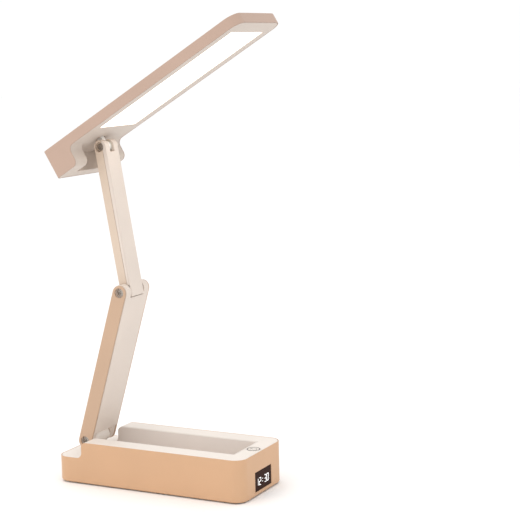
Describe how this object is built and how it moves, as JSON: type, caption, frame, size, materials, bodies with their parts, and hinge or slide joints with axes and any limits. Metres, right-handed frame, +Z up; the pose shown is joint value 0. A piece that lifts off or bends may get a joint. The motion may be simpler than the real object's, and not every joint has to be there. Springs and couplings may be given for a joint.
{
  "type": "folding led desk lamp",
  "caption": "Folding LED desk lamp: long base with storage tray, touch key and clock window, a two-link folding arm and a long flat lit head.",
  "frame": {"origin": "centre of the anti-slip mat's underside, under the middle of the base", "axes": "+X along the base from the hinge end to the clock end, +Y across the base, +Z up"},
  "size_m": [0.2087, 0.085, 0.4368],
  "materials": {
    "peach_abs": "fine moulded texture",
    "rose_abs": "fine moulded texture",
    "ivory_abs": "fine moulded texture",
    "greige_abs": "fine moulded texture",
    "white_abs": "satin",
    "grey_rubber": "matt, fine grain",
    "screw_steel": "turned, plated",
    "natural_nylon": "moulded",
    "zinc_plate": "zinc plated sheet",
    "blue_wrap": "shrink film",
    "green_board": "solder mask",
    "black_display": "matt",
    "smoked_window": "polished",
    "opal_diffuser": "opal, lit from inside",
    "clear_guide": "polished",
    "white_reflector": "film",
    "led_board": "solder mask",
    "grey_lead": "matt"
  },
  "bodies": {
    "base": {"base_shell": "peach_abs", "base_top_frame": "ivory_abs", "storage_tray": "greige_abs", "base_hinge_knuckle": "ivory_abs", "base_bottom_cover": "peach_abs", "anti_slip_mat": "grey_rubber", "ballast_plate": "zinc_plate", "battery_pack": "blue_wrap", "main_board": "green_board", "touch_board": "green_board", "clock_module": "black_display", "clock_window": "smoked_window", "touch_key": "ivory_abs", "touch_key_ring": "screw_steel", "usb_socket": "screw_steel", "rear_board": "green_board", "base_screw_1": "screw_steel", "base_screw_2": "screw_steel", "base_screw_3": "screw_steel", "base_screw_4": "screw_steel", "knuckle_screw_1": "screw_steel", "knuckle_screw_2": "screw_steel"},
    "lower_arm": {"lower_arm_rail_near": "peach_abs", "lower_arm_rail_far": "peach_abs", "lower_arm_channel": "ivory_abs", "lower_arm_lead": "grey_lead", "base_hinge_pin": "screw_steel", "base_hinge_screw_near": "screw_steel", "base_hinge_screw_far": "screw_steel", "base_hinge_washer_near": "natural_nylon", "base_hinge_washer_far": "natural_nylon", "mid_hinge_pin": "screw_steel", "mid_hinge_screw_near": "screw_steel", "mid_hinge_screw_far": "screw_steel", "mid_hinge_washer_near": "natural_nylon", "mid_hinge_washer_far": "natural_nylon"},
    "upper_arm": {"upper_arm_shell": "rose_abs", "upper_arm_cover": "white_abs", "upper_arm_lead": "grey_lead", "head_hinge_pin": "screw_steel", "head_hinge_screw_near": "screw_steel", "head_hinge_screw_far": "screw_steel", "head_hinge_washer_near": "natural_nylon", "head_hinge_washer_far": "natural_nylon"},
    "head": {"head_shell": "rose_abs", "head_frame": "greige_abs", "led_diffuser": "opal_diffuser", "light_guide": "clear_guide", "reflector_sheet": "white_reflector", "led_strip_near": "led_board", "led_strip_far": "led_board", "head_hinge_lug": "white_abs", "lug_screw_1": "screw_steel", "lug_screw_2": "screw_steel"},
    "button_left": {"set_button_left": "ivory_abs"},
    "button_right": {"set_button_right": "ivory_abs"}
  },
  "joints": [
    {"name": "base_hinge", "type": "hinge", "parent": "base", "child": "lower_arm", "pos_m": [-0.0805, 0, 0.0359], "axis": [0, 1, 0], "range_deg": [0, 73.1]},
    {"name": "mid_hinge", "type": "hinge", "parent": "lower_arm", "child": "upper_arm", "pos_m": [-0.03602, 0, 0.18229], "axis": [0, 1, 0], "range_deg": [-153.5, 0]},
    {"name": "head_hinge", "type": "hinge", "parent": "upper_arm", "child": "head", "pos_m": [-0.05916, 0, 0.31763], "axis": [0, 1, 0], "range_deg": [0, 111.4]},
    {"name": "set_button_left_press", "type": "slide", "parent": "base", "child": "button_left", "axis": [1, 0, 0], "range_m": [0, 0.0008], "stiffness_N_per_m": 800, "springref_m": -0.0002},
    {"name": "set_button_right_press", "type": "slide", "parent": "base", "child": "button_right", "axis": [1, 0, 0], "range_m": [0, 0.0008], "stiffness_N_per_m": 800, "springref_m": -0.0002}
  ],
  "couplings": [
    {"joint": "mid_hinge", "follows": "base_hinge", "ratio": -2.0985},
    {"joint": "head_hinge", "follows": "base_hinge", "ratio": 1.5226}
  ]
}
